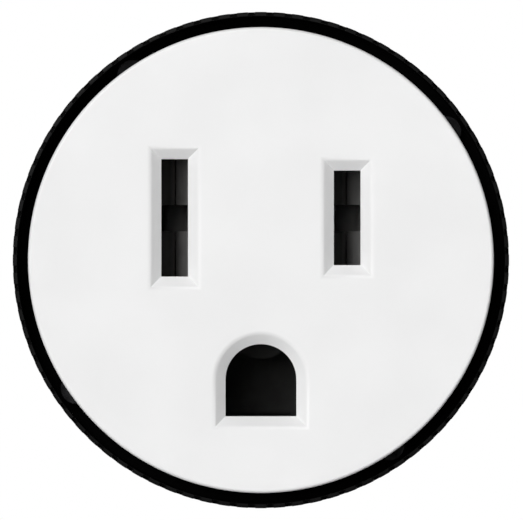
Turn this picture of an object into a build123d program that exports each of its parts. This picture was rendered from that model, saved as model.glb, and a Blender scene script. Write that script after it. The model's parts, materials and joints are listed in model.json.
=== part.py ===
from math import cos, radians, sin
import os

from build123d import *

os.makedirs("parts", exist_ok=True)

# The outlet stands as it does in a wall: X to the right, Y into the wall, Z up.
# The origin is the centre of the collar's front rim, which lies in the finished wall surface.
# Lengths are in millimetres, and a depth is a distance along Y behind that surface.

# Three-pin plug pattern
blade_offset = 12.7 / 2
blade_row_height = 3.11
earth_height = blade_row_height - 11.9
neutral_slot_height = 8.65
hot_slot_height = 6.97
slot_width = 1.967
earth_hole_radius = 2.606
earth_hole_drop = 2.709

# White face
disc_radius = 17.135
disc_edge_chamfer = 0.2
face_wall = 2.4
bevel_width = 0.8
bevel_edge_radius = 0.55
peg_length = 4.5
peg_width = 3.2
peg_thickness = 1.6

# Black collar
collar_radius = 18.25
collar_depth = 8.4
collar_floor_depth = 6.0
cup_radius = 17.95
collar_bore_radius = 14.6
serration_count = 84
serration_root_radius = 18.07
serration_width = 0.34
serration_length = 1.2
key_width = 3.0
key_height = 0.8
key_clearance = 0.05

# Screws that hold the collar, in its floor
collar_screws = 4
collar_screw_angle = 34.8
collar_screw_circle = 16.65
collar_slot_length = 2.0
collar_screw_head_radius = 1.2
collar_screw_head_height = 1.2
collar_screw_shank_radius = 0.7
collar_screw_length = 7.0

# Body and rear cover
body_radius = 18.0
spigot_radius = 14.5
cover_seat_depth = 30.0
cover_back_depth = 32.4
channel_margin = 0.2
leaf_margin = 0.25
chamber_margin = 0.1
peg_pocket_clearance = 0.05
pilot_spare = 0.5
pilot_sides = 6
screw_clearance = 0.2

# What all the slotted screws share, as parts of the head's radius and height
driver_slot_width = 0.28
driver_slot_depth = 0.5
shank_sides = 8

# The face's pegs in front, and the cover's long screws behind
fixing_points = [(0.0, 11.7), (-10.0, -6.3), (10.0, -6.3)]
assembly_head_radius = 2.3
assembly_head_height = 1.4
assembly_shank_radius = 1.15
assembly_screw_length = 16.0

# Contacts, folded from one strip thickness
strip = 0.7
bend_radius = 0.8
pinch_bend_radius = 1.6
blade_mouth_depth = 4.9
blade_mouth_gap = 2.4
blade_pinch_depth = 8.9
blade_pinch_gap = 0.2
blade_root_gap = 2.3
blade_web_depth = 19.2
blade_pocket_depth = 4.6
neutral_leaf_height = 8.9
hot_leaf_height = 7.4
finger_gap = 1.95
finger_root_depth = 17.0
finger_corner = 0.6
finger_tip_cut = 0.1
web_half_height = 4.75
earth_mouth_depth = 9.8
earth_pinch_depth = 13.0
earth_web_depth = 21.8
earth_channel_margin = 0.15
earth_pocket_depth = 9.2
earth_tongue_mouth = -3.3
earth_tongue_pinch = -2.55
earth_tongue_root = -3.55
earth_strip_centre = 3.15
earth_strip_half_width = 2.2
earth_pocket_half_width = 2.8
bead_height = 0.75
bead_half_width = 1.9
bead_length = 3.4

# Wire terminals
terminal_plate_radius = 14.5
terminal_front = 22.9
terminal_back = 29.5
terminal_screw_depth = 26.2
terminal_plate_low = -4.2
terminal_hole_clearance = 0.1
terminal_head_radius = 3.2
terminal_head_height = 1.9
terminal_shank_radius = 1.75
terminal_screw_length = 5.1
window_half_width = 3.6
wire_gap = 2.3
wire_slot_length = 8.2
clamp_thickness = 1.6
clamp_half_width = 4.0
clamp_half_length = 3.1
cover_post_length = 5.6
blade_post_half_width = 1.6
earth_post_low = -3.6
earth_post_high = 0.2

into_wall = Vector(0, 1, 0)


class Pole:
    """One contact with its terminal: where its pin enters, and which way its terminal faces."""

    def __init__(self, name, centre_x, centre_z, outward, reach, web_depth):
        self.name = name
        self.centre_x = centre_x
        self.centre_z = centre_z
        self.outward = outward
        self.reach = reach
        self.web_depth = web_depth

    def point(self, depth=0.0, out=0.0):
        base = Vector(self.centre_x, depth, self.centre_z)
        return base + self.outward * out

    def facing(self, depth):
        """Plane across the outlet: x runs outward, y sideways."""
        return Plane(origin=self.point(depth), x_dir=self.outward, z_dir=-into_wall)

    def plan(self):
        """Plane through the pin: x runs outward, y into the wall."""
        normal = self.outward.cross(into_wall)
        return Plane(origin=self.point(), x_dir=self.outward, z_dir=normal)

    def flank(self, out):
        """Plane across the outward direction: x runs into the wall, y sideways."""
        return Plane(origin=self.point(out=out), x_dir=into_wall, z_dir=self.outward)


neutral = Pole("neutral", -blade_offset, blade_row_height, Vector(-1, 0, 0),
               terminal_plate_radius - blade_offset, blade_web_depth)
hot = Pole("hot", blade_offset, blade_row_height, Vector(1, 0, 0),
           terminal_plate_radius - blade_offset, blade_web_depth)
earth = Pole("ground", 0.0, earth_height, Vector(0, 0, -1),
             terminal_plate_radius + earth_height, earth_web_depth)
blade_web_reach = blade_root_gap / 2 + strip
earth_web_low = earth_tongue_root - strip / 2
earth_web_high = earth_strip_centre + strip / 2


def across(depth):
    """Sketch plane at a depth, seen from the front: x to the right, y up."""
    return Plane.XZ.offset(-depth)


def export_piece(builder, label):
    builder.part.label = label
    export_step(builder.part, f"parts/{label}.step")


def earth_outline(margin=0.0):
    """D outline of the earth hole, flat side down, in the open sketch."""
    half_width = earth_hole_radius + margin
    with Locations((0, earth_height)):
        Circle(half_width)
    with Locations((0, earth_height - earth_hole_drop - margin)):
        Rectangle(2 * half_width, earth_hole_drop + margin, align=(Align.CENTER, Align.MIN))
    with Locations((0, earth_height - earth_hole_drop - margin)):
        Rectangle(4 * half_width, half_width, align=(Align.CENTER, Align.MAX), mode=Mode.SUBTRACT)


# Face: a plate with bevelled pin holes, held by three pegs that press into the body
with BuildPart() as face:
    with BuildSketch(across(0)):
        Circle(disc_radius)
    extrude(amount=-face_wall)
    chamfer(face.edges().sort_by(Axis.Y)[0], length=disc_edge_chamfer)
    with BuildSketch(across(face_wall)):
        with Locations(*fixing_points):
            Rectangle(peg_width, peg_thickness)
    extrude(amount=-peg_length)

    # Two slots and the earth hole
    with BuildSketch(across(0)):
        with Locations((-blade_offset, blade_row_height)):
            Rectangle(slot_width, neutral_slot_height)
        with Locations((blade_offset, blade_row_height)):
            Rectangle(slot_width, hot_slot_height)
        earth_outline()
    extrude(amount=-face_wall, mode=Mode.SUBTRACT)

    # Lead-in bevels with a soft outer edge
    front = face.faces().sort_by(Axis.Y)[0]
    chamfer([edge for wire in front.inner_wires() for edge in wire.edges()], length=bevel_width)
    front = face.faces().sort_by(Axis.Y)[0]
    fillet([edge for wire in front.inner_wires() for edge in wire.edges()], radius=bevel_edge_radius)
export_piece(face, "face")

# Collar: a thin-walled cup with a serrated lip, which fingers turn it by
with BuildPart() as collar:
    with BuildSketch(across(0)):
        Circle(collar_radius)
        Circle(cup_radius, mode=Mode.SUBTRACT)
    extrude(amount=-collar_floor_depth)
    with BuildSketch(across(collar_floor_depth)):
        Circle(collar_radius)
        Circle(collar_bore_radius, mode=Mode.SUBTRACT)
    extrude(amount=collar_floor_depth - collar_depth)

    # Slots for its screws, which let it turn a little, and the keyway
    with BuildSketch(across(collar_floor_depth)):
        with PolarLocations(collar_screw_circle, collar_screws, start_angle=collar_screw_angle):
            Rectangle(2 * collar_screw_shank_radius, collar_slot_length)
        with Locations((0, collar_bore_radius)):
            Rectangle(key_width + 2 * key_clearance, 2 * (key_height + key_clearance))
    extrude(amount=collar_floor_depth - collar_depth, mode=Mode.SUBTRACT)

    # Serrations, in front of a plain round wall
    with BuildSketch(across(0)):
        groove_depth = collar_radius - serration_root_radius
        half_pitch = 180 / serration_count
        with PolarLocations(serration_root_radius, serration_count, start_angle=half_pitch):
            Polygon(
                (0, 0), (2 * groove_depth, -serration_width), (2 * groove_depth, serration_width),
                align=None,
            )
    extrude(amount=-serration_length, mode=Mode.SUBTRACT)
export_piece(collar, "collar")

# Body: a round moulding with a spigot in front and the contact chambers open at the back
with BuildPart() as body:
    with BuildSketch(across(face_wall)):
        Circle(spigot_radius)
    extrude(amount=face_wall - collar_depth)
    with BuildSketch(across(collar_depth)):
        Circle(body_radius)
    extrude(amount=collar_depth - cover_seat_depth)

    # Key that keeps the slots upright in the collar
    with BuildSketch(across(collar_floor_depth)):
        with Locations((0, spigot_radius)):
            Rectangle(key_width, 2 * key_height)
    extrude(amount=collar_floor_depth - collar_depth)

    # Channels behind the two slots, then the wider pockets for the leaves
    for pole, slot_height, leaf_height in (
        (neutral, neutral_slot_height, neutral_leaf_height),
        (hot, hot_slot_height, hot_leaf_height),
    ):
        with BuildSketch(pole.facing(face_wall)):
            Rectangle(slot_width + 2 * channel_margin, slot_height + 2 * channel_margin)
        extrude(amount=face_wall - blade_pocket_depth, mode=Mode.SUBTRACT)
        with BuildSketch(pole.facing(blade_pocket_depth)):
            Rectangle(2 * (blade_web_reach + leaf_margin), leaf_height + 2 * leaf_margin)
        extrude(amount=blade_pocket_depth - blade_web_depth, mode=Mode.SUBTRACT)

    # Channel and pocket for the earth pin
    with BuildSketch(across(face_wall)):
        earth_outline(margin=earth_channel_margin)
    extrude(amount=face_wall - earth_pocket_depth, mode=Mode.SUBTRACT)
    with BuildSketch(earth.facing(earth_pocket_depth)):
        with Locations(((earth_web_low + earth_web_high) / 2, 0)):
            Rectangle(earth_web_high - earth_web_low + 2 * chamber_margin, 2 * earth_pocket_half_width)
    extrude(amount=earth_pocket_depth - earth_web_depth, mode=Mode.SUBTRACT)

    # Terminal chambers, each with a window that its screw head slides into from behind
    for pole, web_low in ((neutral, -blade_web_reach), (hot, -blade_web_reach), (earth, earth_web_low)):
        chamber_low = web_low - chamber_margin
        chamber_high = pole.reach + chamber_margin
        chamber_side = web_half_height + strip + chamber_margin
        with BuildSketch(pole.facing(pole.web_depth)):
            with Locations(((chamber_low + chamber_high) / 2, 0)):
                Rectangle(chamber_high - chamber_low, 2 * chamber_side)
        extrude(amount=pole.web_depth - cover_seat_depth, mode=Mode.SUBTRACT)
        window_front = terminal_screw_depth - window_half_width
        with BuildSketch(pole.facing(window_front)):
            with Locations((pole.reach, 0)):
                Rectangle(body_radius, 2 * window_half_width, align=(Align.MIN, Align.CENTER))
        extrude(amount=window_front - cover_seat_depth, mode=Mode.SUBTRACT)

    # Pockets for the face's pegs
    with BuildSketch(across(face_wall)):
        with Locations(*fixing_points):
            Rectangle(peg_width + 2 * peg_pocket_clearance, peg_thickness + 2 * peg_pocket_clearance)
    extrude(amount=-peg_length - pilot_spare, mode=Mode.SUBTRACT)

    # Six-sided pilot holes, in which the screws cut their own thread
    with BuildSketch(across(collar_depth)):
        with PolarLocations(collar_screw_circle, collar_screws, start_angle=collar_screw_angle):
            RegularPolygon(collar_screw_shank_radius, side_count=pilot_sides, major_radius=False)
    collar_screw_tip = collar_floor_depth + collar_screw_length
    extrude(amount=collar_depth - collar_screw_tip - pilot_spare, mode=Mode.SUBTRACT)
    with BuildSketch(across(cover_seat_depth)):
        with Locations(*fixing_points):
            RegularPolygon(assembly_shank_radius, side_count=pilot_sides, major_radius=False)
    assembly_screw_tip = cover_back_depth - assembly_screw_length
    extrude(amount=cover_seat_depth - assembly_screw_tip + pilot_spare, mode=Mode.SUBTRACT)
export_piece(body, "body")

# Rear cover: its posts hold the contacts down, and wires enter through its slots
with BuildPart() as rear_cover:
    with BuildSketch(across(cover_seat_depth)):
        Circle(body_radius)
    extrude(amount=cover_seat_depth - cover_back_depth)
    for pole, post_low, post_high in (
        (neutral, -blade_post_half_width, blade_post_half_width),
        (hot, -blade_post_half_width, blade_post_half_width),
        (earth, earth_post_low, earth_post_high),
    ):
        with BuildSketch(pole.facing(cover_seat_depth)):
            with Locations(((post_low + post_high) / 2, 0)):
                Rectangle(post_high - post_low, cover_post_length)
        extrude(amount=cover_seat_depth - pole.web_depth - strip)
        with BuildSketch(pole.facing(cover_seat_depth)):
            with Locations((pole.reach - strip - wire_gap / 2, 0)):
                Rectangle(wire_gap, wire_slot_length)
        extrude(amount=cover_seat_depth - cover_back_depth, mode=Mode.SUBTRACT)
    with BuildSketch(across(cover_seat_depth)):
        with Locations(*fixing_points):
            Circle(assembly_shank_radius + screw_clearance)
    extrude(amount=cover_seat_depth - cover_back_depth, mode=Mode.SUBTRACT)
export_piece(rear_cover, "rear_cover")


def terminal_strip(pole, web_low, web_high):
    """The folded end that every contact has: web, flange, and the plate that the wire meets."""
    flange_centre = web_half_height + strip / 2
    plate_centre = pole.reach - strip / 2
    with BuildPart() as terminal:
        with BuildSketch(pole.flank(web_low)):
            with BuildLine():
                FilletPolyline(
                    (pole.web_depth + strip / 2, -web_half_height),
                    (pole.web_depth + strip / 2, flange_centre),
                    (terminal_front + strip, flange_centre),
                    radius=bend_radius,
                )
            trace(line_width=strip)
        extrude(amount=web_high - web_low)
        with BuildSketch(pole.facing(terminal_front)):
            with BuildLine():
                FilletPolyline(
                    (web_low, flange_centre),
                    (plate_centre, flange_centre),
                    (plate_centre, terminal_plate_low),
                    radius=bend_radius,
                )
            trace(line_width=strip)
        extrude(amount=terminal_front - terminal_back)
        with BuildSketch(pole.flank(pole.reach)):
            with Locations((terminal_screw_depth, 0)):
                Circle(terminal_shank_radius + terminal_hole_clearance)
        extrude(amount=-2 * strip, mode=Mode.SUBTRACT)
    return terminal.part


# Blade contacts: two sprung leaves, each cut into an upper and a lower finger
for pole, leaf_height in ((neutral, neutral_leaf_height), (hot, hot_leaf_height)):
    terminal = terminal_strip(pole, -blade_web_reach, blade_web_reach)
    with BuildPart() as blade_contact:
        mouth = (blade_mouth_gap + strip) / 2
        pinch = (blade_pinch_gap + strip) / 2
        root = (blade_root_gap + strip) / 2
        web_line = blade_web_depth + strip / 2
        with BuildSketch(pole.plan()):
            with BuildLine():
                FilletPolyline(
                    (-mouth, blade_mouth_depth), (-pinch, blade_pinch_depth), (-root, web_line),
                    (root, web_line), (pinch, blade_pinch_depth), (mouth, blade_mouth_depth),
                    radius=[pinch_bend_radius, bend_radius, bend_radius, pinch_bend_radius],
                )
            trace(line_width=strip)
        extrude(amount=leaf_height / 2, both=True)

        # What stays of the leaves: two fingers with clipped tips, and the root
        finger_front = blade_mouth_depth + finger_tip_cut
        finger_length = blade_web_depth - finger_front
        finger_middle = (leaf_height + finger_gap) / 4
        with BuildSketch(pole.flank(-2 * blade_web_reach)) as kept:
            with Locations((finger_front, finger_middle), (finger_front, -finger_middle)):
                Rectangle(
                    finger_length, (leaf_height - finger_gap) / 2, align=(Align.MIN, Align.CENTER)
                )
            chamfer(kept.vertices().group_by(Axis.Y)[0], length=finger_corner)
            with Locations((finger_root_depth, 0)):
                Rectangle(blade_web_depth, leaf_height, align=(Align.MIN, Align.CENTER))
        extrude(amount=4 * blade_web_reach, mode=Mode.INTERSECT)
        add(terminal)
    export_piece(blade_contact, f"{pole.name}_contact")

# Earth contact: a sprung tongue over the pin and a flat strip under it
terminal = terminal_strip(earth, earth_web_low, earth_web_high)
with BuildPart() as ground_contact:
    web_line = earth_web_depth + strip / 2
    with BuildSketch(earth.plan()):
        with BuildLine():
            FilletPolyline(
                (earth_tongue_mouth, earth_mouth_depth), (earth_tongue_pinch, earth_pinch_depth),
                (earth_tongue_root, web_line), (earth_strip_centre, web_line),
                (earth_strip_centre, earth_mouth_depth),
                radius=[pinch_bend_radius, bend_radius, bend_radius],
            )
        trace(line_width=strip)
    extrude(amount=earth_strip_half_width, both=True)

    # Rounded bead pressed into the tongue, which touches the pin
    bead_radius = (bead_half_width**2 + bead_height**2) / (2 * bead_height)
    bead_top = earth_tongue_pinch + strip / 2 + bead_height
    with BuildSketch(earth.facing(earth_pinch_depth - bead_length / 2)):
        with Locations((bead_top - bead_radius, 0)):
            Circle(bead_radius)
        with Locations((bead_top, 0)):
            Rectangle(
                bead_height + strip, 2 * earth_strip_half_width,
                align=(Align.MAX, Align.CENTER), mode=Mode.INTERSECT,
            )
    extrude(amount=-bead_length)
    add(terminal)
export_piece(ground_contact, "ground_contact")


def pan_head_screw(seat, head_radius, head_height, shank_radius, length):
    """A slotted screw, its head on the seat plane and its shank, with flats for thread, below it."""
    with BuildPart() as screw:
        with BuildSketch(seat):
            Circle(head_radius)
        extrude(amount=head_height)
        with BuildSketch(seat):
            RegularPolygon(shank_radius, side_count=shank_sides)
        extrude(amount=-length)
        with BuildSketch(seat.offset(head_height)):
            Rectangle(2 * head_radius, driver_slot_width * head_radius)
        extrude(amount=-driver_slot_depth * head_height, mode=Mode.SUBTRACT)
    return screw


# Terminal screws and the clamp plates that they draw up against the wires
for pole in (neutral, hot, earth):
    seat = Plane(
        origin=pole.point(terminal_screw_depth, pole.reach), x_dir=into_wall, z_dir=pole.outward
    )
    terminal_screw = pan_head_screw(
        seat, terminal_head_radius, terminal_head_height, terminal_shank_radius, terminal_screw_length
    )
    export_piece(terminal_screw, f"{pole.name}_terminal_screw")

    with BuildPart() as clamp:
        with BuildSketch(seat.offset(-strip - wire_gap)):
            Rectangle(2 * clamp_half_length, 2 * clamp_half_width)
            RegularPolygon(terminal_shank_radius, side_count=shank_sides, mode=Mode.SUBTRACT)
        extrude(amount=-clamp_thickness)
    export_piece(clamp, f"{pole.name}_clamp")

for number in range(1, collar_screws + 1):
    angle = radians(collar_screw_angle + (number - 1) * 360 / collar_screws)
    place = Vector(cos(angle), 0, sin(angle)) * collar_screw_circle
    collar_screw = pan_head_screw(
        Plane(origin=place + into_wall * collar_floor_depth, x_dir=(1, 0, 0), z_dir=-into_wall),
        collar_screw_head_radius, collar_screw_head_height,
        collar_screw_shank_radius, collar_screw_length,
    )
    export_piece(collar_screw, f"collar_screw_{number}")

for number, (x, z) in enumerate(fixing_points, start=1):
    assembly_screw = pan_head_screw(
        Plane(origin=(x, cover_back_depth, z), x_dir=(1, 0, 0), z_dir=into_wall),
        assembly_head_radius, assembly_head_height,
        assembly_shank_radius, assembly_screw_length,
    )
    export_piece(assembly_screw, f"assembly_screw_{number}")
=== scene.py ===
import json
import math

import bmesh
import bpy
from mathutils import Matrix, Vector

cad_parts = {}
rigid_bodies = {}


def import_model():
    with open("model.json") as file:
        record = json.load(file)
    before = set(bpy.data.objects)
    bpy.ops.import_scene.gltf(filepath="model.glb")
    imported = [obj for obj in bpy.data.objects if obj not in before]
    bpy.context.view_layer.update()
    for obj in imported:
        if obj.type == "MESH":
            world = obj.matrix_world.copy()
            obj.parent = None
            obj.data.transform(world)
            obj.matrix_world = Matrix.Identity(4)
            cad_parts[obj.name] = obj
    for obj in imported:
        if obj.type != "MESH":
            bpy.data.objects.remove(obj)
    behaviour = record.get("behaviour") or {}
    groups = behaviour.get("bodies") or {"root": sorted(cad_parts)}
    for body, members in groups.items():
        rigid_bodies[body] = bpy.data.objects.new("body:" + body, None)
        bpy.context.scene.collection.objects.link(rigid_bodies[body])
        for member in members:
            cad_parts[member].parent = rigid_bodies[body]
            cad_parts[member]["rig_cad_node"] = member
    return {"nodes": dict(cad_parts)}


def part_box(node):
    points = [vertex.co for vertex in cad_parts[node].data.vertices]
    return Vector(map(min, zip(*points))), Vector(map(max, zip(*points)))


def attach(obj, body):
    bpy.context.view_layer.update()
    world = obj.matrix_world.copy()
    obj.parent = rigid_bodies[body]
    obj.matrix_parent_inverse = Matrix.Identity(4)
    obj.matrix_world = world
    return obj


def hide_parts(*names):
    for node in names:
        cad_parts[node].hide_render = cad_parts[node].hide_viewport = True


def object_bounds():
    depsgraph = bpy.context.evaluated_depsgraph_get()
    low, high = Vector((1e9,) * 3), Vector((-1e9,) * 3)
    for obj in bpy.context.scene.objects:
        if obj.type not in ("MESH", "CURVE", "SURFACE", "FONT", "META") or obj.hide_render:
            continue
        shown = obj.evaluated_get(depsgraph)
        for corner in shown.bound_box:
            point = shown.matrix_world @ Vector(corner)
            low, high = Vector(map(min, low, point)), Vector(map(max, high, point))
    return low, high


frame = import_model()
nodes = frame["nodes"]
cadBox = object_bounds()
mm = 0.001
intoWall = Vector((0, 1, 0))
touching = 0.01             # mm within which a corner counts as lying on a plane
bladeOffset = 6.35          # mm from the middle of the outlet to the centre of each blade
bladeRow = 3.11             # mm from there up to the blades' row

print("frame loaded")


# Small helpers

def activate(piece):
    if bpy.context.object and bpy.context.object.mode != "OBJECT":
        bpy.ops.object.mode_set(mode="OBJECT")
    bpy.ops.object.select_all(action="DESELECT")
    if piece:
        piece.select_set(True)
        bpy.context.view_layer.objects.active = piece


def openPiece(name):
    # names the primitive that was just added and opens it for shaping
    piece = bpy.context.object
    piece.name = name
    piece.data.name = name
    bpy.ops.object.mode_set(mode="EDIT")
    return piece


def pickFaces(piece, test):
    # test gets a face's centre in mm and its direction
    bpy.ops.mesh.select_mode(type="FACE")
    bpy.ops.mesh.select_all(action="DESELECT")
    mesh = bmesh.from_edit_mesh(piece.data)
    turn = piece.matrix_world.to_3x3()
    for face in mesh.faces:
        spot = piece.matrix_world @ face.calc_center_median()
        face.select_set(bool(test(spot / mm, (turn @ face.normal).normalized())))
    bmesh.update_edit_mesh(piece.data)


def pickEdges(piece, test):
    # test gets the two ends of an edge in mm
    bpy.ops.mesh.select_mode(type="EDGE")
    bpy.ops.mesh.select_all(action="DESELECT")
    mesh = bmesh.from_edit_mesh(piece.data)
    for edge in mesh.edges:
        ends = [piece.matrix_world @ corner.co / mm for corner in edge.verts]
        edge.select_set(bool(test(*ends)))
    bmesh.update_edit_mesh(piece.data)


def pickCorners(piece, test):
    # test gets a corner's place in mm
    bpy.ops.mesh.select_mode(type="VERT")
    bpy.ops.mesh.select_all(action="DESELECT")
    mesh = bmesh.from_edit_mesh(piece.data)
    for corner in mesh.verts:
        corner.select_set(bool(test(piece.matrix_world @ corner.co / mm)))
    mesh.select_flush_mode()
    bmesh.update_edit_mesh(piece.data)


def cleanShell():
    # joins doubled corners and turns every face outward
    bpy.ops.mesh.select_mode(type="VERT")
    bpy.ops.mesh.select_all(action="SELECT")
    bpy.ops.mesh.remove_doubles(threshold=0.002 * mm)
    bpy.ops.mesh.normals_make_consistent(inside=False)


def carve(piece, cutter, operation="DIFFERENCE"):
    # boolean with a second piece, which is used up
    activate(piece)
    tool = piece.modifiers.new("carve", "BOOLEAN")
    tool.operation = operation
    tool.solver = "EXACT"
    tool.object = cutter
    bpy.ops.object.modifier_apply(modifier=tool.name)
    bpy.data.objects.remove(cutter)


def fromAxis(spot):
    return math.hypot(spot.x, spot.z)


def addBlock(name, low, high):
    # a box between two corners in mm
    middle = [(a + b) / 2 * mm for a, b in zip(low, high)]
    bpy.ops.mesh.primitive_cube_add(size=mm, location=middle)
    block = openPiece(name)
    bpy.ops.transform.resize(value=[b - a for a, b in zip(low, high)])
    bpy.ops.object.mode_set(mode="OBJECT")
    return block


def settle(piece, node, material, smoothAngle=32):
    # place into the mesh, smooth rounds with flat flats, material, and the node that it stands for
    activate(piece)
    bpy.ops.object.transform_apply(location=True, rotation=True, scale=True)
    bpy.ops.object.shade_smooth_by_angle(angle=math.radians(smoothAngle))
    flats = piece.modifiers.new("flatFlats", "WEIGHTED_NORMAL")
    flats.keep_sharp = True
    flats.weight = 100
    bpy.ops.object.modifier_apply(modifier=flats.name)
    piece.data.materials.clear()
    piece.data.materials.append(material)
    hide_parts(node)
    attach(piece, "root")


# Shader helpers

def addNode(tree, kind, settings=None, links=None):
    node = tree.nodes.new(kind)
    for key, value in (settings or {}).items():
        if isinstance(key, int) or key in node.inputs:
            node.inputs[key].default_value = value
        else:
            setattr(node, key, value)
    for key, (source, output) in (links or {}).items():
        tree.links.new(source.outputs[output], node.inputs[key])
    return node


def fromHex(code):
    # sRGB hex to the linear values that the shaders want
    channels = [int(code[start:start + 2], 16) / 255 for start in (1, 3, 5)]
    linear = [c / 12.92 if c <= 0.04045 else ((c + 0.055) / 1.055) ** 2.4 for c in channels]
    return (*linear, 1.0)


def startMaterial(name):
    material = bpy.data.materials.new(name)
    material.use_nodes = True
    tree = material.node_tree
    tree.nodes.clear()
    place = addNode(tree, "ShaderNodeTexCoord")
    surface = addNode(tree, "ShaderNodeBsdfPrincipled")
    addNode(tree, "ShaderNodeOutputMaterial", None, {"Surface": (surface, "BSDF")})
    return material, tree, place, surface


def grain(tree, place, sizeMm, detail=2.0, stretch=None):
    # noise with features of about that size, drawn out where stretch is under 1
    source, output = place, "Object"
    if stretch:
        source = addNode(tree, "ShaderNodeMapping", {"Scale": stretch}, {"Vector": (place, "Object")})
        output = "Vector"
    return addNode(tree, "ShaderNodeTexNoise", {"Scale": 1 / (sizeMm * mm), "Detail": detail},
                   {"Vector": (source, output)})


def ranged(tree, source, low, high):
    # noise mostly lies between 0.35 and 0.65
    return addNode(tree, "ShaderNodeMapRange",
                   {"From Min": 0.35, "From Max": 0.65, "To Min": low, "To Max": high},
                   {"Value": source})


def between(tree, factor, first, second):
    return addNode(tree, "ShaderNodeMix",
                   {"data_type": "RGBA", 6: fromHex(first), 7: fromHex(second)}, {0: factor})


def tintBy(tree, surface, cloud, colours):
    # the colour drifts between two with the clouds
    tint = between(tree, (ranged(tree, (cloud, 0), 0, 1), 0), *colours)
    tree.links.new(tint.outputs[2], surface.inputs["Base Color"])


def roughenBy(tree, surface, cloud, limits):
    # and so does the roughness
    rough = ranged(tree, (cloud, 0), *limits)
    tree.links.new(rough.outputs[0], surface.inputs["Roughness"])


def roughSkin(tree, surface, height, depthMm, under=None):
    # fine relief, on top of another where that is given
    links = {"Height": height}
    if under:
        links["Normal"] = (under, "Normal")
    skin = addNode(tree, "ShaderNodeBump", {"Strength": 1.0, "Distance": depthMm * mm}, links)
    tree.links.new(skin.outputs["Normal"], surface.inputs["Normal"])
    return skin


# Materials

whiteSettings = {
    "colours": ("#EFEFEF", "#EDEDED"),
    "roughness": (0.50, 0.56),
    "refraction": 1.58,
    "flowMm": 6.0,              # size of the flow marks, barely darker than the rest
    "grainMm": 0.09,
    "grainDepthMm": 0.0035,
}


def satinWhiteMoulding():
    # injection-moulded polycarbonate from a fine-sanded mould: soft wide highlights, no mirror
    material, tree, place, surface = startMaterial("satinWhiteMoulding")
    flow = grain(tree, place, whiteSettings["flowMm"], 1.0)
    fine = grain(tree, place, whiteSettings["grainMm"], 3.0)
    tintBy(tree, surface, flow, whiteSettings["colours"])
    roughenBy(tree, surface, flow, whiteSettings["roughness"])
    surface.inputs["IOR"].default_value = whiteSettings["refraction"]
    roughSkin(tree, surface, (fine, 0), whiteSettings["grainDepthMm"])
    return material


blackSettings = {
    "colours": ("#0E0E0E", "#121212"),
    "roughness": (0.54, 0.58),
    "refraction": 1.53,
    "flowMm": 4.0,
    "grainMm": 0.14,
    "grainDepthMm": 0.009,
}


def sparkTexturedBlackMoulding():
    # glass-filled nylon from a spark-eroded mould: dull and slightly pebbled, grey where light grazes
    material, tree, place, surface = startMaterial("sparkTexturedBlackMoulding")
    flow = grain(tree, place, blackSettings["flowMm"], 2.0)
    pebbles = grain(tree, place, blackSettings["grainMm"], 2.0)
    tintBy(tree, surface, flow, blackSettings["colours"])
    roughenBy(tree, surface, flow, blackSettings["roughness"])
    surface.inputs["IOR"].default_value = blackSettings["refraction"]
    roughSkin(tree, surface, (pebbles, 0), blackSettings["grainDepthMm"])
    return material


collarFinish = {
    "colours": ("#090909", "#111111"),      # the second where the dye is thinner
    "roughness": (0.38, 0.46),
    "sheen": 0.04,
    "cloudMm": 3.0,
    "blastedMm": 0.05,
    "blastedDepthMm": 0.002,
    "turnedLineMm": 0.08,
    "turnedDepthMm": 0.0012,
    "turnedWobble": 0.6,
}
ringSpacing = 0.314             # m between the rings of a wave texture at scale 1


def blackAnodisedAluminium():
    # dyed oxide film over a blasted, turned ring: matt near-black with a faint sheen on the lathe lines
    material, tree, place, surface = startMaterial("blackAnodisedAluminium")
    cloud = grain(tree, place, collarFinish["cloudMm"], 3.0)
    blasted = grain(tree, place, collarFinish["blastedMm"], 2.0)
    tintBy(tree, surface, cloud, collarFinish["colours"])
    roughenBy(tree, surface, cloud, collarFinish["roughness"])
    surface.inputs["Specular IOR Level"].default_value = collarFinish["sheen"]
    lines = addNode(tree, "ShaderNodeTexWave",
                    {"wave_type": "RINGS", "rings_direction": "Y",
                     "Distortion": collarFinish["turnedWobble"],
                     "Scale": ringSpacing / (collarFinish["turnedLineMm"] * mm)},
                    {"Vector": (place, "Object")})
    under = roughSkin(tree, surface, (blasted, 0), collarFinish["blastedDepthMm"])
    roughSkin(tree, surface, (lines, 1), collarFinish["turnedDepthMm"], under=under)
    return material


shadeBlackSettings = {
    "colours": ("#0A0A0A", "#0D0D0D"),
    "roughness": (0.75, 0.9),
    "sheen": 0.01,
    "mottleMm": 0.3,
    "mottleDepthMm": 0.01,
}


def paintedShadeBlack():
    # painted shade for the cup and the notches: near-black with almost no sheen, so it looks blacker than
    # the lip
    material, tree, place, surface = startMaterial("paintedShadeBlack")
    mottle = grain(tree, place, shadeBlackSettings["mottleMm"], 3.0)
    tintBy(tree, surface, mottle, shadeBlackSettings["colours"])
    roughenBy(tree, surface, mottle, shadeBlackSettings["roughness"])
    surface.inputs["Specular IOR Level"].default_value = shadeBlackSettings["sheen"]
    roughSkin(tree, surface, (mottle, 0), shadeBlackSettings["mottleDepthMm"])
    return material


metalGrain = {
    "cloudSize": 4.0,           # both sizes as a share of the finish's own
    "lineSize": 0.12,
    "lineStretch": (1.0, 0.08, 1.0),
    "lineDepthMm": 0.0015,
}


def cloudAndLines(tree, place, sizeMm):
    # the clouds of a plating, and the fine lines that drawing or rolling left in the metal
    cloud = grain(tree, place, metalGrain["cloudSize"] * sizeMm, 3.0)
    lines = grain(tree, place, metalGrain["lineSize"] * sizeMm, 2.0, metalGrain["lineStretch"])
    return cloud, lines


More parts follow.
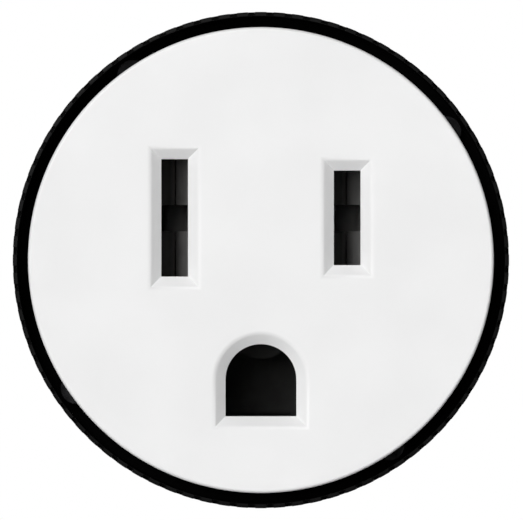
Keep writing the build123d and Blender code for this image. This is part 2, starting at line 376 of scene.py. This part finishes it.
metalFinishes = {
    # name: (colour, colour of the clouds, roughness range, grain in mm, metallic)
    "zincPlatedSteel": ("#B4B7BA", "#9C9FA0", (0.28, 0.42), 0.3, 1.0),
    "nickelPlatedSteel": ("#C2BFB8", "#A9A59C", (0.20, 0.32), 0.4, 1.0),
    "turnedBrass": ("#C79F55", "#A47F3E", (0.24, 0.38), 0.4, 1.0),
    "greenPassivatedSteel": ("#1F6B38", "#154B29", (0.30, 0.45), 0.4, 0.6),
    "blackOxideSteel": ("#1B1B1C", "#131314", (0.38, 0.52), 0.3, 0.92),
}


def metalFinish(name):
    # metal with clouded plating and fine drawn lines: the clouds break up what it mirrors
    colour, cloudColour, roughness, sizeMm, metallic = metalFinishes[name]
    material, tree, place, surface = startMaterial(name)
    cloud, lines = cloudAndLines(tree, place, sizeMm)
    tintBy(tree, surface, cloud, (colour, cloudColour))
    surface.inputs["Metallic"].default_value = metallic
    roughenBy(tree, surface, cloud, roughness)
    roughSkin(tree, surface, (lines, 0), metalGrain["lineDepthMm"])
    return material


stripSettings = {
    "bright": ("#A9A69F", "#8F8B82"),       # nickel plate, and where it clouds over
    "bladeFilm": ("#A2A1A0", "#969594"),    # the dull film inside the blade chambers
    "leftLeafShade": ("#545453", "#4C4C4B"),     # painted shade on the left leaves, which face away from the lamps; not on the web
    "leftUpTo": -0.4,                       # mm from the blade's centre, between which the painted shade gives way to the plain film
    "rightFrom": 0.3,                       # the thicker film gives way to the thinner
    "webFrom": 18.0,                        # mm behind the wall surface
    "earthChamberShade": ("#4C4C4B", "#444443"),    # painted shade: the earth chamber's film is as dark as the left leaves all over
    "brightRoughness": (0.34, 0.48),
    "dullRoughness": 0.8,
    "dullMetallic": 0.0,
    "dullSheen": 0.06,
    "dullUpTo": 22.2,                       # mm behind the wall surface, between which
    "brightFrom": 23.0,                     # the film gives way to bright plate
    "grainMm": 0.5,
}


def platedContactStrip(name, dullFilm, leftLeafShade=None, centre=0):
    # nickel plate, still bright at the terminals and under a dull film inside the chambers; painted shade
    # darkens that film on the blades' left leaves and in the earth chamber
    material, tree, place, surface = startMaterial(name)
    cloud, lines = cloudAndLines(tree, place, stripSettings["grainMm"])
    clouding = (ranged(tree, (cloud, 0), 0, 1), 0)
    spot = addNode(tree, "ShaderNodeSeparateXYZ", None, {"Vector": (place, "Object")})

    def towards(dull, bright):
        # one value inside the chambers and another at the terminals
        return (addNode(tree, "ShaderNodeMapRange",
                        {"From Min": stripSettings["dullUpTo"] * mm, "To Min": dull,
                         "From Max": stripSettings["brightFrom"] * mm, "To Max": bright},
                        {"Value": (spot, "Y")}), 0)

    film = between(tree, clouding, *dullFilm)
    # painted shade: left of the blade's centre and in front of the web, the film is darker
    if leftLeafShade:
        sideways = addNode(tree, "ShaderNodeMapRange",
                           {"From Min": (centre + stripSettings["leftUpTo"]) * mm,
                            "From Max": (centre + stripSettings["rightFrom"]) * mm},
                           {"Value": (spot, "X")})
        web = addNode(tree, "ShaderNodeMath",
                      {"operation": "GREATER_THAN", 1: stripSettings["webFrom"] * mm},
                      {0: (spot, "Y")})
        unshaded = addNode(tree, "ShaderNodeMath", {"operation": "MAXIMUM"}, {0: (sideways, 0), 1: (web, 0)})
        paintedShade = between(tree, clouding, *leftLeafShade)
        film = addNode(tree, "ShaderNodeMix", {"data_type": "RGBA"},
                       {0: (unshaded, 0), 6: (paintedShade, 2), 7: (film, 2)})
    plate = between(tree, clouding, *stripSettings["bright"])
    tint = addNode(tree, "ShaderNodeMix", {"data_type": "RGBA"},
                   {0: towards(0, 1), 6: (film, 2), 7: (plate, 2)})
    tree.links.new(tint.outputs[2], surface.inputs["Base Color"])
    shine = ranged(tree, (cloud, 0), *stripSettings["brightRoughness"])
    rough = addNode(tree, "ShaderNodeMix", {2: stripSettings["dullRoughness"]},
                    {0: towards(0, 1), 3: (shine, 0)})
    tree.links.new(rough.outputs[0], surface.inputs["Roughness"])
    for socket, (source, output) in {
        "Metallic": towards(stripSettings["dullMetallic"], 1),
        "Specular IOR Level": towards(stripSettings["dullSheen"], 0.5),
    }.items():
        tree.links.new(source.outputs[output], surface.inputs[socket])
    roughSkin(tree, surface, (lines, 0), metalGrain["lineDepthMm"])
    return material


whiteMoulding = satinWhiteMoulding()
bladeCentres = {"neutral_contact": -bladeOffset, "hot_contact": bladeOffset}
stripNames = {"neutral_contact": "platedNeutralStrip", "hot_contact": "platedHotStrip"}
bladeStrips = {
    node: platedContactStrip(stripNames[node], stripSettings["bladeFilm"],
                             stripSettings["leftLeafShade"], centre)
    for node, centre in bladeCentres.items()
}
# the earth strip's film inside its chamber is painted shade
earthStrip = platedContactStrip("platedEarthStrip", stripSettings["earthChamberShade"])
blackMoulding = sparkTexturedBlackMoulding()
collarMetal = blackAnodisedAluminium()
metals = {name: metalFinish(name) for name in metalFinishes}

print("materials made")


# Face: the white disc with its three pin holes

faceSettings = {
    "segments": 288,
    "edgeRound": 0.25,          # mm
    "edgeSteps": 5,
    "bevel": 0.8,               # lead-in of the pin holes
    "bevelAngle": 45,           # degrees
    "bevelRound": 0.55,
    "bevelSteps": 6,
    "archSteps": 40,            # of the earth hole's round top
    # centre, width and height
    "slots": ((-bladeOffset, bladeRow, 1.967, 8.65), (bladeOffset, bladeRow, 1.967, 6.97)),
    "earth": (0.0, -8.79, 2.606, 2.709),    # centre, radius and drop to the flat
    "wall": 2.4,
    "pegs": ((0.0, 11.7), (-10.0, -6.3), (10.0, -6.3)),
    "pegSize": (3.2, 1.6, 4.5),             # width, height and length behind the wall
    "pegRoot": 0.4,             # how deep inside the wall a peg starts
    "pegRound": 0.3,
    "cutterFront": 0.3,         # how far the pin holes' cutters reach in front and behind
    "cutterBack": 3.0,
}


def leadInSteps():
    # (offset, depth) from the front surface down to the straight wall of a pin hole
    radius, width = faceSettings["bevelRound"], faceSettings["bevel"]
    slant = math.radians(faceSettings["bevelAngle"])
    outer = width + radius * math.tan(slant / 2)
    steps = []
    for count in range(faceSettings["bevelSteps"] + 1):
        angle = slant * count / faceSettings["bevelSteps"]
        steps.append((outer - radius * math.sin(angle), radius * (1 - math.cos(angle))))
    steps.append((0.0, width))
    return steps


def pinHoleCutter(name, low, high, roundTop=False):
    # a block as wide as the soft bevel at the front, stepped in behind to the hole's own size
    steps = leadInSteps()
    spread = steps[0][0]
    cutter = addBlock(name, (low[0] - spread, -faceSettings["cutterFront"], low[1] - spread),
                      (high[0] + spread, 0, high[1] + spread))
    activate(cutter)
    bpy.ops.object.mode_set(mode="EDIT")
    if roundTop:
        top = high[1] + spread
        pickEdges(cutter, lambda a, b: min(a.z, b.z) > top - touching and abs(a.y - b.y) > touching)
        bpy.ops.mesh.bevel(offset=(high[0] - low[0] + 2 * spread) / 2 * mm,
                           segments=faceSettings["archSteps"], affect="EDGES", clamp_overlap=False)
        cleanShell()
    pickFaces(cutter, lambda spot, turn: turn.y > 0.9 and spot.y > -touching)
    for (offset, depth), (nextOffset, nextDepth) in zip(steps, steps[1:]):
        bpy.ops.mesh.inset(thickness=(offset - nextOffset) * mm, depth=(nextDepth - depth) * mm)
    bpy.ops.mesh.extrude_region_move(
        TRANSFORM_OT_translate={"value": (0, faceSettings["cutterBack"] * mm, 0)})
    bpy.ops.object.mode_set(mode="OBJECT")
    return cutter


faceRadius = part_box("face")[1].x / mm
wall = faceSettings["wall"]
activate(None)
bpy.ops.mesh.primitive_cylinder_add(
    vertices=faceSettings["segments"], radius=faceRadius * mm, depth=wall * mm,
    location=(0, wall / 2 * mm, 0), rotation=(math.radians(90), 0, 0),
)
facePlate = openPiece("facePlate")
pickEdges(facePlate, lambda a, b: max(a.y, b.y) < touching)
bpy.ops.mesh.bevel(offset=faceSettings["edgeRound"] * mm, segments=faceSettings["edgeSteps"],
                   affect="EDGES", clamp_overlap=False)
bpy.ops.object.mode_set(mode="OBJECT")
for x, z, width, height in faceSettings["slots"]:
    cutter = pinHoleCutter("slotCutter", (x - width / 2, z - height / 2), (x + width / 2, z + height / 2))
    carve(facePlate, cutter)
x, z, earthRadius, earthDrop = faceSettings["earth"]
cutter = pinHoleCutter("earthCutter", (x - earthRadius, z - earthDrop),
                       (x + earthRadius, z + earthRadius), roundTop=True)
carve(facePlate, cutter)
pegWidth, pegHeight, pegLength = faceSettings["pegSize"]
for x, z in faceSettings["pegs"]:
    peg = addBlock("peg", (x - pegWidth / 2, wall - faceSettings["pegRoot"], z - pegHeight / 2),
                   (x + pegWidth / 2, wall + pegLength, z + pegHeight / 2))
    activate(peg)
    bpy.ops.object.mode_set(mode="EDIT")
    pickEdges(peg, lambda a, b: min(a.y, b.y) > wall + pegLength - touching)
    bpy.ops.mesh.bevel(offset=faceSettings["pegRound"] * mm, segments=2, affect="EDGES")
    bpy.ops.object.mode_set(mode="OBJECT")
    carve(facePlate, peg, "UNION")
settle(facePlate, "face", whiteMoulding)

print("face made")


# Collar: a turned cup with a thin lip, and short notches round the front of the lip

collarSettings = {
    "notches": 84,
    "stepsPerNotch": 10,
    "rootRadius": 18.05,        # mm, of the floor of each notch
    "notchLength": 1.2,
    "notchEnd": 0.02,           # over which a notch ends in the plain wall
    "notchDip": 0.2,            # that each notch leaves across the lip
    "lipSlope": 0.07,           # how far the lip lies back at its outer edge
    "lipRound": 0.05,
    "cupRadius": 17.95,
    "cupDepth": 6.0,
    "boreRadius": 14.6,
    "screwAngles": (34.8, 124.8, 214.8, 304.8),
    "screwCircle": 16.65,
    "screwSlot": (1.4, 2.0),    # across and along the circle
    "keyway": (3.1, 1.7),       # width and height
    "floorCut": (5.0, 10.0),    # depths between which the cup's floor is cut through
}

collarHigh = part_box("collar")[1]
rimRadius, collarDepth = collarHigh.x / mm, collarHigh.y / mm
activate(None)
bpy.ops.mesh.primitive_cylinder_add(
    vertices=collarSettings["notches"] * collarSettings["stepsPerNotch"],
    radius=rimRadius * mm, depth=collarDepth * mm,
    location=(0, collarDepth / 2 * mm, 0), rotation=(math.radians(90), 0, 0),
)
collarRing = openPiece("collarRing")
cupRadius, boreRadius = collarSettings["cupRadius"], collarSettings["boreRadius"]
cupDepth = collarSettings["cupDepth"]
notchLength, notchEnd = collarSettings["notchLength"], collarSettings["notchEnd"]
pickFaces(collarRing, lambda spot, turn: turn.y < -0.9)
bpy.ops.transform.translate(value=(0, notchLength * mm, 0))
for step in (notchEnd, notchLength - notchEnd):
    bpy.ops.mesh.extrude_region_move(TRANSFORM_OT_translate={"value": (0, -step * mm, 0)})
bpy.ops.mesh.inset(thickness=(rimRadius - cupRadius) * mm)
bpy.ops.mesh.extrude_region_move(TRANSFORM_OT_translate={"value": (0, cupDepth * mm, 0)})
bpy.ops.mesh.inset(thickness=(cupRadius - boreRadius) * mm)
bpy.ops.mesh.delete(type="FACE")
pickFaces(collarRing, lambda spot, turn: turn.y > 0.9 and spot.y > collarDepth - touching)
bpy.ops.mesh.inset(thickness=(rimRadius - boreRadius) * mm)
bpy.ops.mesh.delete(type="FACE")
pickEdges(collarRing, lambda a, b: max(fromAxis(a), fromAxis(b)) < boreRadius + 0.05)
bpy.ops.mesh.bridge_edge_loops()
lipSlope = collarSettings["lipSlope"]
pickCorners(collarRing, lambda spot: spot.y < touching and fromAxis(spot) > rimRadius - touching)
bpy.ops.transform.translate(value=(0, lipSlope * mm, 0))
pickEdges(collarRing, lambda a, b: max(a.y, b.y) < lipSlope + touching
          and abs(fromAxis(a) - fromAxis(b)) < touching)
bpy.ops.mesh.bevel(offset=collarSettings["lipRound"] * mm, segments=3, affect="EDGES",
                   clamp_overlap=False)
pitch = 360 / collarSettings["notches"]
notchReach = 1.1 * pitch / collarSettings["stepsPerNotch"]   # degrees, for three corners of the ring


def atNotch(spot):
    angle = math.degrees(math.atan2(spot.z, spot.x)) % pitch
    return abs(angle - pitch / 2) < notchReach


def inNotch(spot):
    # the floor of each notch, on the outer wall and in front of the plain part only
    outside = fromAxis(spot) > rimRadius - 0.1
    return atNotch(spot) and outside and spot.y < notchLength - notchEnd / 2


def acrossLip(spot):
    # the front of the lip at each notch, from its inner round to its outer one
    onLip = fromAxis(spot) > cupRadius + 0.02
    return atNotch(spot) and onLip and spot.y < lipSlope + 0.1


pickCorners(collarRing, acrossLip)
bpy.ops.transform.translate(value=(0, collarSettings["notchDip"] * mm, 0))
pickCorners(collarRing, inNotch)
shrink = collarSettings["rootRadius"] / rimRadius
bpy.ops.transform.resize(value=(shrink, 1, shrink), center_override=(0, 0, 0))
cleanShell()
bpy.ops.object.mode_set(mode="OBJECT")
slotWide, slotLong = collarSettings["screwSlot"]
cutFrom, cutTo = collarSettings["floorCut"]
screwCircle = collarSettings["screwCircle"]
for angle in collarSettings["screwAngles"]:
    cutter = addBlock("screwSlot", (screwCircle - slotWide / 2, cutFrom, -slotLong / 2),
                      (screwCircle + slotWide / 2, cutTo, slotLong / 2))
    cutter.matrix_world = Matrix.Rotation(-math.radians(angle), 4, "Y") @ cutter.matrix_world
    carve(collarRing, cutter)
keyWide, keyHigh = collarSettings["keyway"]
carve(collarRing, addBlock("keyway", (-keyWide / 2, cutFrom, boreRadius - keyHigh / 2),
                           (keyWide / 2, cutTo, boreRadius + keyHigh / 2)))
settle(collarRing, "collar", collarMetal)
# painted shade: the blacker material goes on the wall and floor of the cup and in the notches
collarRing.data.materials.append(paintedShadeBlack())
bpy.ops.object.mode_set(mode="EDIT")
pickFaces(collarRing, lambda spot, turn: lipSlope + 0.03 < spot.y < cupDepth + touching
          and boreRadius + 0.1 < fromAxis(spot) < rimRadius - touching)
collarRing.active_material_index = 1
bpy.ops.object.material_slot_assign()
bpy.ops.object.mode_set(mode="OBJECT")

print("collar made")


# Mouldings and folded metal: the frame's own shapes, with their edges broken

dressing = {
    # node: (material, edge rounding in mm, steps)
    "body": (blackMoulding, 0.12, 2),
    "rear_cover": (blackMoulding, 0.2, 2),
    "neutral_contact": (bladeStrips["neutral_contact"], 0.06, 2),
    "hot_contact": (bladeStrips["hot_contact"], 0.06, 2),
    "ground_contact": (earthStrip, 0.06, 2),
    "neutral_clamp": (metals["zincPlatedSteel"], 0.2, 2),
    "hot_clamp": (metals["zincPlatedSteel"], 0.2, 2),
    "ground_clamp": (metals["zincPlatedSteel"], 0.2, 2),
}
mergeAngle, edgeAngle = 0.4, 35     # degrees: flatter joints merge, sharper ones are rounded
pinchSettings = {
    "from": 8.0,                # mm behind the wall surface
    "to": 9.9,
    "halfWidth": 1.2,           # of both leaves together
    "closeBy": 0.095,           # each
}


def springTogether(contact, centre):
    # the two leaves all but touch where they pinch the blade
    for side in (-1, 1):
        pickCorners(contact, lambda spot: pinchSettings["from"] < spot.y < pinchSettings["to"]
                    and 0 < (spot.x - centre) * side < pinchSettings["halfWidth"])
        bpy.ops.transform.translate(value=(-side * pinchSettings["closeBy"] * mm, 0, 0))


for node, (material, rounding, steps) in dressing.items():
    activate(nodes[node])
    bpy.ops.object.duplicate()
    bpy.ops.object.parent_clear(type="CLEAR_KEEP_TRANSFORM")
    del bpy.context.object["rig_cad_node"]
    dressed = openPiece(node + "Dressed")
    bpy.ops.mesh.select_all(action="SELECT")
    bpy.ops.mesh.customdata_custom_splitnormals_clear()
    cleanShell()
    bpy.ops.mesh.dissolve_limited(angle_limit=math.radians(mergeAngle))
    if node in bladeCentres:
        springTogether(dressed, bladeCentres[node])
    bpy.ops.object.mode_set(mode="OBJECT")
    edges = dressed.modifiers.new("brokenEdges", "BEVEL")
    edges.width = rounding * mm
    edges.segments = steps
    edges.limit_method = "ANGLE"
    edges.angle_limit = math.radians(edgeAngle)
    bpy.ops.object.modifier_apply(modifier=edges.name)
    settle(dressed, node, material)

print("mouldings and contacts dressed")


# Screws: one of each kind is modelled, the rest are copies

screwSettings = {
    "sides": 64,
    "headSteps": 6,
    "footRound": 0.08,          # mm, under the head
    "tipLength": 0.6,           # mm
    "tipWidth": 0.6,            # of the shank's
    "threadDepth": 0.5,         # of its pitch
    "slotHalfWidth": 0.14,      # of the head's radius
    "slotFloor": 0.5,           # of the head's height
}
screwKinds = {
    # all in mm, the head's radius and height
    "collarScrew": {"head": (1.2, 1.2), "round": 0.1, "shank": 0.7, "length": 7.0, "pitch": 0.5},
    "assemblyScrew": {"head": (2.3, 1.4), "round": 0.55, "shank": 1.15, "length": 16.0, "pitch": 0.8},
    "terminalScrew": {"head": (3.2, 1.9), "round": 0.75, "shank": 1.75, "length": 5.1, "pitch": 0.8},
}


def panHeadScrew(name):
    # stands on its seat at the origin, head up, slot along X
    kind = screwKinds[name]
    headRadius, headHeight = kind["head"]
    activate(None)
    footRound, tipLength = screwSettings["footRound"], screwSettings["tipLength"]
    bpy.ops.mesh.primitive_cylinder_add(
        vertices=screwSettings["sides"], radius=headRadius * mm, depth=headHeight * mm,
        location=(0, 0, headHeight / 2 * mm),
    )
    screw = openPiece(name)
    pickEdges(screw, lambda a, b: min(a.z, b.z) > headHeight - touching)
    bpy.ops.mesh.bevel(offset=kind["round"] * mm, segments=screwSettings["headSteps"],
                       affect="EDGES", clamp_overlap=False)
    pickEdges(screw, lambda a, b: max(a.z, b.z) < touching)
    bpy.ops.mesh.bevel(offset=footRound * mm, segments=2, affect="EDGES", clamp_overlap=False)
    pickFaces(screw, lambda spot, turn: turn.z < -0.9 and spot.z < touching)
    bpy.ops.mesh.inset(thickness=(headRadius - footRound - kind["shank"]) * mm)
    flank = kind["pitch"] / 2
    root = 1 - screwSettings["threadDepth"] * kind["pitch"] / kind["shank"]
    turns = int((kind["length"] - tipLength) / kind["pitch"])
    plainLength = kind["length"] - tipLength - turns * kind["pitch"]
    bpy.ops.mesh.extrude_region_move(TRANSFORM_OT_translate={"value": (0, 0, -plainLength * mm)})
    for turn in range(turns):
        for scale in (root, 1 / root):
            bpy.ops.mesh.extrude_region_move(TRANSFORM_OT_translate={"value": (0, 0, -flank * mm)})
            bpy.ops.transform.resize(value=(scale, scale, 1))
    bpy.ops.mesh.extrude_region_move(TRANSFORM_OT_translate={"value": (0, 0, -tipLength * mm)})
    bpy.ops.transform.resize(value=(screwSettings["tipWidth"], screwSettings["tipWidth"], 1))
    cleanShell()
    bpy.ops.object.mode_set(mode="OBJECT")
    slotHalf = screwSettings["slotHalfWidth"] * headRadius
    carve(screw, addBlock("driverSlot",
                          (-2 * headRadius, -slotHalf, screwSettings["slotFloor"] * headHeight),
                          (2 * headRadius, slotHalf, 2 * headHeight)))
    bpy.ops.object.transform_apply(location=True, rotation=True, scale=True)
    return screw


def driveScrew(pattern, node, seat, along, across, material):
    # a copy of the pattern on its seat, its head towards along and its slot along across
    activate(pattern)
    bpy.ops.object.duplicate()
    screw = bpy.context.object
    screw.name = node + "Turned"
    turn = Matrix((across, along.cross(across), along)).transposed().to_4x4()
    screw.matrix_world = Matrix.Translation(seat * mm) @ turn
    settle(screw, node, material)


pattern = panHeadScrew("collarScrew")
for number, angle in enumerate(collarSettings["screwAngles"], start=1):
    around = Vector((math.cos(math.radians(angle)), 0, math.sin(math.radians(angle))))
    seat = around * screwCircle + intoWall * cupDepth
    driveScrew(pattern, f"collar_screw_{number}", seat, -intoWall, around.cross(intoWall),
               metals["blackOxideSteel"])
bpy.data.objects.remove(pattern)

# the long screws stand in line with the face's pegs
pattern = panHeadScrew("assemblyScrew")
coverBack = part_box("rear_cover")[1].y / mm
for number, (x, z) in enumerate(faceSettings["pegs"], start=1):
    driveScrew(pattern, f"assembly_screw_{number}", Vector((x, coverBack, z)), intoWall,
               Vector((1, 0, 0)), metals["zincPlatedSteel"])
bpy.data.objects.remove(pattern)

terminalSettings = {
    "plateRadius": 14.5,        # mm from the axis to the outside of each terminal plate
    "screwDepth": 26.2,
    "poles": {
        # pole: (direction in which its plate faces, where that starts from, metal)
        "neutral": (Vector((-1, 0, 0)), Vector((0, 0, bladeRow)), "nickelPlatedSteel"),
        "hot": (Vector((1, 0, 0)), Vector((0, 0, bladeRow)), "turnedBrass"),
        "ground": (Vector((0, 0, -1)), Vector((0, 0, 0)), "greenPassivatedSteel"),
    },
}
pattern = panHeadScrew("terminalScrew")
for pole, (outward, start, metal) in terminalSettings["poles"].items():
    seat = outward * terminalSettings["plateRadius"] + start + intoWall * terminalSettings["screwDepth"]
    driveScrew(pattern, pole + "_terminal_screw", seat, outward, intoWall, metals[metal])
bpy.data.objects.remove(pattern)

print("screws driven")


# Camera and stage

viewSettings = {
    "pixelsPerMm": 13.602,      # from the 12.7 mm between the two slots
    "imageWidth": 523,
    "cameraDistance": 0.9,      # m, long enough to show no side of the slots
    "aimRight": 0.043,          # mm from the disc's centre to the picture's
    "aimUp": 0.007,
    "floorDrop": 12.0,          # mm of air under the collar, so no shadow shows in front
}
sensorWidth = 36.0
frameWidth = viewSettings["imageWidth"] / viewSettings["pixelsPerMm"] * mm

activate(None)
bpy.ops.object.camera_add(
    location=(viewSettings["aimRight"] * mm, -viewSettings["cameraDistance"], viewSettings["aimUp"] * mm),
    rotation=(math.radians(90), 0, 0),
)
camera = bpy.context.object
camera.name = "frontCamera"
camera.data.sensor_width = sensorWidth
camera.data.lens = sensorWidth * viewSettings["cameraDistance"] / frameWidth
camera.data.clip_start = 0.01
bpy.context.scene.camera = camera
bpy.context.scene.view_settings.view_transform = "Standard"

lampSettings = {
    # direction from the outlet, distance in m, size in m, power in W;
    # the key lamp is up and to the left of the viewer, the fill lamp shines nearly along
    # the slots to reach the contacts, and the back lamp is for the terminals
    "keyLamp": ((-0.370, -0.843, 0.405), 2.0, 1.0, 29.2),
    "fillLamp": ((-0.13, -0.99, 0.04), 2.0, 0.5, 9.0),
    "backLamp": ((0.75, 0.9, 0.35), 2.0, 0.8, 7.0),
}
worldStrength = 0.03            # of the light from all round
for name, (direction, distance, size, power) in lampSettings.items():
    aim = Vector(direction).normalized()
    bpy.ops.object.light_add(type="AREA", location=aim * distance,
                             rotation=aim.to_track_quat("Z", "Y").to_euler())
    lamp = bpy.context.object
    lamp.name = name
    lamp.data.size = size
    lamp.data.energy = power


def backgroundRays(tree):
    # 1 for the rays of the camera, of mirrors and of glass, to which the studio is plain white
    path = addNode(tree, "ShaderNodeLightPath")
    either = addNode(tree, "ShaderNodeMath", {"operation": "MAXIMUM"},
                     {0: (path, "Is Camera Ray"), 1: (path, "Is Glossy Ray")})
    return addNode(tree, "ShaderNodeMath", {"operation": "MAXIMUM"},
                   {0: (either, 0), 1: (path, "Is Transmission Ray")})


world = bpy.data.worlds.new("whiteStudio")
bpy.context.scene.world = world
world.use_nodes = True
tree = world.node_tree
tree.nodes.clear()
fill = addNode(tree, "ShaderNodeBackground", {"Color": (1, 1, 1, 1), "Strength": worldStrength})
white = addNode(tree, "ShaderNodeBackground", {"Color": (1, 1, 1, 1), "Strength": 1.0})
shown = addNode(tree, "ShaderNodeMixShader", None,
                {0: (backgroundRays(tree), 0), 1: (fill, 0), 2: (white, 0)})
addNode(tree, "ShaderNodeOutputWorld", None, {"Surface": (shown, 0)})

floorSettings = {
    "size": 5,                  # m
    "colours": ("#F2F2F2", "#EFEFEF"),
    "roughness": 0.9,
    "sheen": 0.1,
    "fibreMm": 0.8,
    "fibreDepthMm": 0.05,
    "glow": 0.48,               # what lifts the paper near the outlet, for the camera only
    "whiteFrom": 0.18,          # m from the outlet where the paper starts to fade into white
    "whiteAt": 0.40,
}


def studioPaper():
    # matt paper sweep: shows the soft shadow under the outlet and goes to white further off
    material, tree, place, surface = startMaterial("mattPaperSweep")
    fibres = grain(tree, place, floorSettings["fibreMm"], 3.0)
    tintBy(tree, surface, fibres, floorSettings["colours"])
    surface.inputs["Roughness"].default_value = floorSettings["roughness"]
    surface.inputs["Specular IOR Level"].default_value = floorSettings["sheen"]
    roughSkin(tree, surface, (fibres, 0), floorSettings["fibreDepthMm"])
    glow = addNode(tree, "ShaderNodeEmission",
                   {"Color": (1, 1, 1, 1), "Strength": floorSettings["glow"]})
    near = addNode(tree, "ShaderNodeAddShader", None, {0: (surface, 0), 1: (glow, 0)})
    far = addNode(tree, "ShaderNodeEmission", {"Color": (1, 1, 1, 1), "Strength": 1.0})
    reach = addNode(tree, "ShaderNodeVectorMath", {"operation": "LENGTH"}, {0: (place, "Object")})
    fade = addNode(tree, "ShaderNodeMapRange",
                   {"interpolation_type": "SMOOTHSTEP", "From Min": floorSettings["whiteFrom"],
                    "From Max": floorSettings["whiteAt"]}, {"Value": (reach, "Value")})
    shown = addNode(tree, "ShaderNodeMixShader", None, {0: (fade, 0), 1: (near, 0), 2: (far, 0)})
    both = addNode(tree, "ShaderNodeMixShader", None,
                   {0: (backgroundRays(tree), 0), 1: (surface, 0), 2: (shown, 0)})
    output = [node for node in tree.nodes if node.type == "OUTPUT_MATERIAL"][0]
    tree.links.new(both.outputs[0], output.inputs["Surface"])
    return material


activate(None)
floorHeight = cadBox[0].z - viewSettings["floorDrop"] * mm
bpy.ops.mesh.primitive_plane_add(size=floorSettings["size"], location=(0, 0, floorHeight))
paperSweep = bpy.context.object
paperSweep.name = "paperSweep"
bpy.ops.object.transform_apply(location=True)
paperSweep.data.materials.append(studioPaper())

print("camera, lamps and floor set")
